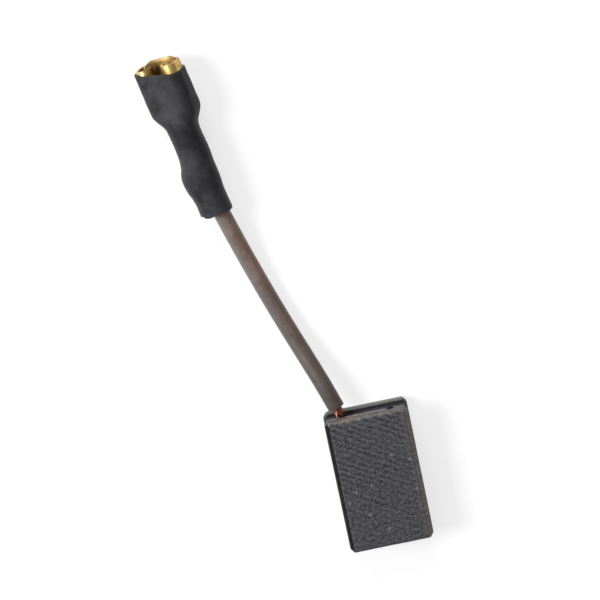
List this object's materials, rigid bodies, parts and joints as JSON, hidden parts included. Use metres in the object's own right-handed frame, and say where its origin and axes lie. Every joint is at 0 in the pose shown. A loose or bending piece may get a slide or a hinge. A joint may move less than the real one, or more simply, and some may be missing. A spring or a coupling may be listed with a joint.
{
  "type": "carbon brush",
  "caption": "Small rectangular carbon motor brush with a spring groove, a tamped copper shunt, a short insulated lead and a booted push-on receptacle.",
  "frame": {"origin": "middle of the carbon block's lower wide face, as the block lies on it", "axes": "+Y along the block's length, from the contact face to the grooved end; +X across its width; +Z through its thickness, up"},
  "size_m": [0.0231, 0.0626, 0.005],
  "materials": {
    "carbon": "ground graphite, dull with a faint metallic sheen",
    "tamped_copper": "tamped copper and graphite powder, dull",
    "copper": "bare stranded copper",
    "insulation": "brownish grey extruded insulation",
    "brass": "stamped and rolled sheet",
    "boot": "dark grey shrunk sleeve, satin"
  },
  "bodies": {
    "root": {"carbon_block": "carbon", "tamped_plug": "tamped_copper", "copper_shunt": "copper", "lead_insulation": "insulation", "receptacle_terminal": "brass", "heat_shrink_boot": "boot"}
  },
  "joints": []
}
